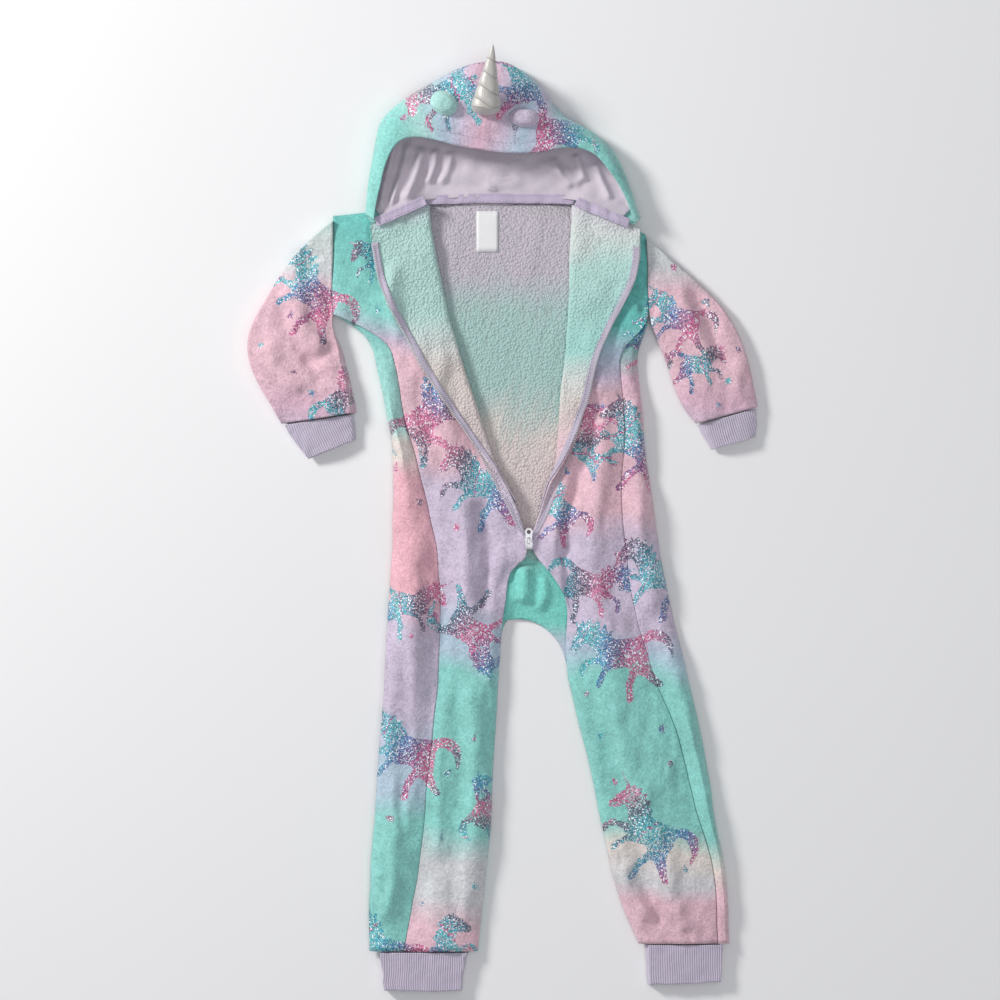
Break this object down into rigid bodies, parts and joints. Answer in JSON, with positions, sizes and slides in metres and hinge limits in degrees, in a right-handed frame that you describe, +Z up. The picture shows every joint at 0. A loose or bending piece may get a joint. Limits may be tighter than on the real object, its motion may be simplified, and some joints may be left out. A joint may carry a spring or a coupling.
{
  "type": "unicorn onesie",
  "caption": "Child's hooded fleece onesie, unzipped and laid open face up, with a stuffed horn, puffy ears, folded-back fronts, ribbed cuffs and a hinged zip pull.",
  "frame": {"origin": "middle of the footprint's bounding box, on the surface the garment lies on", "axes": "+Y toward the hood, +Z up from the surface, +X across the garment to the viewer's right"},
  "size_m": [0.5872, 1.0802, 0.0711],
  "materials": {
    "fleece": "matte plush fleece in mint, pink, lilac and pale blue tie-dye bands, with scattered glitter foil motifs",
    "jersey": "smooth matte lavender jersey",
    "rib": "matte lavender rib knit",
    "binding": "matte lavender woven tape",
    "satin": "stuffed cream satin with a soft sheen",
    "label": "smooth white woven label",
    "metal": "silver painted zip metal, satin"
  },
  "bodies": {
    "garment": {"back_panel": "fleece", "front_left": "fleece", "front_right": "fleece", "sleeve_left": "fleece", "sleeve_right": "fleece", "sleeve_cuff_left": "rib", "sleeve_cuff_right": "rib", "leg_cuff_left": "rib", "leg_cuff_right": "rib", "hood_shell": "fleece", "hood_lining": "jersey", "neck_binding_back": "binding", "neck_binding_left": "binding", "neck_binding_right": "binding", "zip_tape_left": "binding", "zip_tape_right": "binding", "zip_slider": "metal", "horn": "satin", "ear_left": "fleece", "ear_right": "fleece", "care_label": "label"},
    "pull_tab": {"pull_tab": "metal"}
  },
  "joints": [
    {"name": "pull_tab_hinge", "type": "hinge", "parent": "garment", "child": "pull_tab", "pos_m": [0.0307, -0.0241, 0.0194], "axis": [1, 0, 0], "range_deg": [0, 165]}
  ]
}
